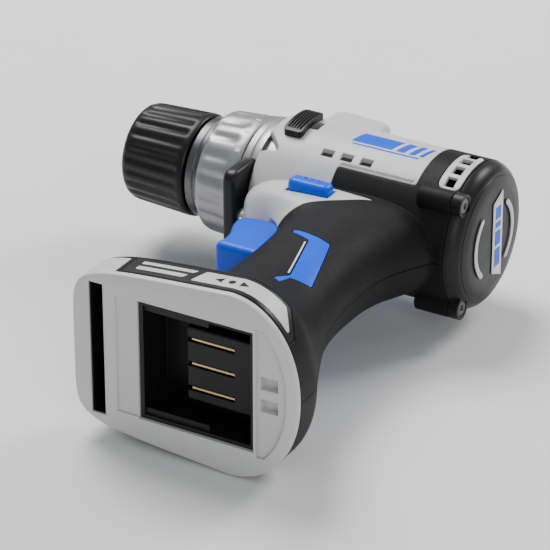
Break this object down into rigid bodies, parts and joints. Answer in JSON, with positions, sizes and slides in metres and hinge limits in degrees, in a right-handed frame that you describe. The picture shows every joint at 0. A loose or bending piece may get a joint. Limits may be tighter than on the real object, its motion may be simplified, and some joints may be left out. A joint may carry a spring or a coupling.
{
  "type": "cordless drill",
  "caption": "Compact two-speed drill driver with keyless chuck, clutch ring, trigger and open slide-on battery bay, lying on its side.",
  "frame": {"origin": "middle of the box's underside, with the tool lying on its right side", "axes": "-X towards the chuck, -Y towards the battery bay, +Z the operator's left side, which faces up"},
  "size_m": [0.1626, 0.185, 0.074],
  "materials": {
    "light_plastic": "fine moulded grain",
    "black_rubber": "soft matt overmould",
    "black_plastic": "fine moulded grain",
    "blue_plastic": "satin",
    "white_plastic": "satin label",
    "nose_metal": "satin grey",
    "steel": "machined",
    "dark_steel": "blackened",
    "brass": "stamped",
    "copper": "enamelled winding",
    "clear_plastic": "clear lens",
    "circuit_board": "solder mask"
  },
  "bodies": {
    "tool": {"housing_left": "light_plastic", "housing_right": "light_plastic", "vent_insert_left": "light_plastic", "vent_insert_right": "light_plastic", "rear_trim_upper": "light_plastic", "rear_trim_lower": "light_plastic", "foot_frame": "light_plastic", "grip_left": "black_rubber", "grip_right": "black_rubber", "foot_label_left": "black_plastic", "foot_label_right": "black_plastic", "rear_cap": "black_plastic", "battery_tray": "black_plastic", "terminal_block": "black_plastic", "light_bezel": "black_plastic", "trigger_switch": "black_plastic", "motor_end_bell": "black_plastic", "accent_left": "blue_plastic", "accent_right": "blue_plastic", "rear_band": "white_plastic", "gearcase": "nose_metal", "front_bearing": "steel", "ring_gear": "steel", "motor_can": "steel", "trigger_spring": "steel", "cap_screw_left": "dark_steel", "cap_screw_right": "dark_steel", "motor_mount": "dark_steel", "magnet_upper": "dark_steel", "magnet_lower": "dark_steel", "housing_screw_1": "dark_steel", "housing_screw_2": "dark_steel", "housing_screw_3": "dark_steel", "terminal_blade_1": "brass", "terminal_blade_2": "brass", "terminal_blade_3": "brass", "light_lens": "clear_plastic", "control_board": "circuit_board", "light_board": "circuit_board"},
    "trigger": {"trigger": "blue_plastic"},
    "direction_lever": {"direction_lever": "blue_plastic"},
    "speed_selector": {"speed_selector": "black_plastic"},
    "clutch_ring": {"clutch_ring": "nose_metal"},
    "spindle": {"output_spindle": "steel", "planet_carrier": "steel", "chuck_body": "dark_steel", "chuck_rear_ring": "dark_steel", "chuck_screw": "steel"},
    "chuck_sleeve": {"chuck_sleeve": "black_plastic"},
    "jaw_1": {"chuck_jaw_1": "steel"},
    "jaw_2": {"chuck_jaw_2": "steel"},
    "jaw_3": {"chuck_jaw_3": "steel"},
    "rotor": {"motor_shaft": "steel", "armature": "copper", "commutator": "copper", "cooling_fan": "black_plastic", "sun_gear": "steel"},
    "planet_1": {"planet_gear_1": "brass"},
    "planet_2": {"planet_gear_2": "brass"},
    "planet_3": {"planet_gear_3": "brass"}
  },
  "joints": [
    {"name": "trigger_pull", "type": "slide", "parent": "tool", "child": "trigger", "axis": [1, 0, 0], "range_m": [0, 0.006], "stiffness_N_per_m": 700, "springref_m": -0.004, "deforming": ["trigger_spring"]},
    {"name": "direction_select", "type": "slide", "parent": "tool", "child": "direction_lever", "axis": [0, 0, 1], "range_m": [-0.003, 0.003]},
    {"name": "speed_select", "type": "slide", "parent": "tool", "child": "speed_selector", "axis": [1, 0, 0], "range_m": [0, 0.006]},
    {"name": "clutch_turn", "type": "hinge", "parent": "tool", "child": "clutch_ring", "pos_m": [-0.0313, 0.0565, 0.037], "axis": [-1, 0, 0], "range_deg": [0, 300]},
    {"name": "spindle_spin", "type": "hinge", "parent": "tool", "child": "spindle", "pos_m": [-0.0313, 0.0565, 0.037], "axis": [-1, 0, 0], "continuous": true},
    {"name": "rotor_spin", "type": "hinge", "parent": "tool", "child": "rotor", "pos_m": [0.0387, 0.0565, 0.037], "axis": [-1, 0, 0], "continuous": true},
    {"name": "planet_1_spin", "type": "hinge", "parent": "spindle", "child": "planet_1", "pos_m": [-0.0003, 0.0685, 0.037], "axis": [-1, 0, 0], "continuous": true},
    {"name": "planet_2_spin", "type": "hinge", "parent": "spindle", "child": "planet_2", "pos_m": [-0.0003, 0.0505, 0.04739], "axis": [-1, 0, 0], "continuous": true},
    {"name": "planet_3_spin", "type": "hinge", "parent": "spindle", "child": "planet_3", "pos_m": [-0.0003, 0.0505, 0.02661], "axis": [-1, 0, 0], "continuous": true},
    {"name": "sleeve_turn", "type": "hinge", "parent": "spindle", "child": "chuck_sleeve", "pos_m": [-0.0613, 0.0565, 0.037], "axis": [-1, 0, 0], "range_deg": [-1350, 2610]},
    {"name": "jaw_1_slide", "type": "slide", "parent": "spindle", "child": "jaw_1", "axis": [-0.9613, -0.2756, 0], "range_m": [-0.0062, 0.0118]},
    {"name": "jaw_2_slide", "type": "slide", "parent": "spindle", "child": "jaw_2", "axis": [-0.9613, 0.1378, -0.2387], "range_m": [-0.0062, 0.0118]},
    {"name": "jaw_3_slide", "type": "slide", "parent": "spindle", "child": "jaw_3", "axis": [-0.9613, 0.1378, 0.2387], "range_m": [-0.0062, 0.0118]}
  ],
  "couplings": [
    {"joint": "rotor_spin", "follows": "spindle_spin", "ratio": 4},
    {"joint": "planet_1_spin", "follows": "spindle_spin", "ratio": -3},
    {"joint": "planet_2_spin", "follows": "spindle_spin", "ratio": -3},
    {"joint": "planet_3_spin", "follows": "spindle_spin", "ratio": -3},
    {"joint": "jaw_1_slide", "follows": "sleeve_turn", "m_per_rad": 0.00025465},
    {"joint": "jaw_2_slide", "follows": "sleeve_turn", "m_per_rad": 0.00025465},
    {"joint": "jaw_3_slide", "follows": "sleeve_turn", "m_per_rad": 0.00025465}
  ]
}
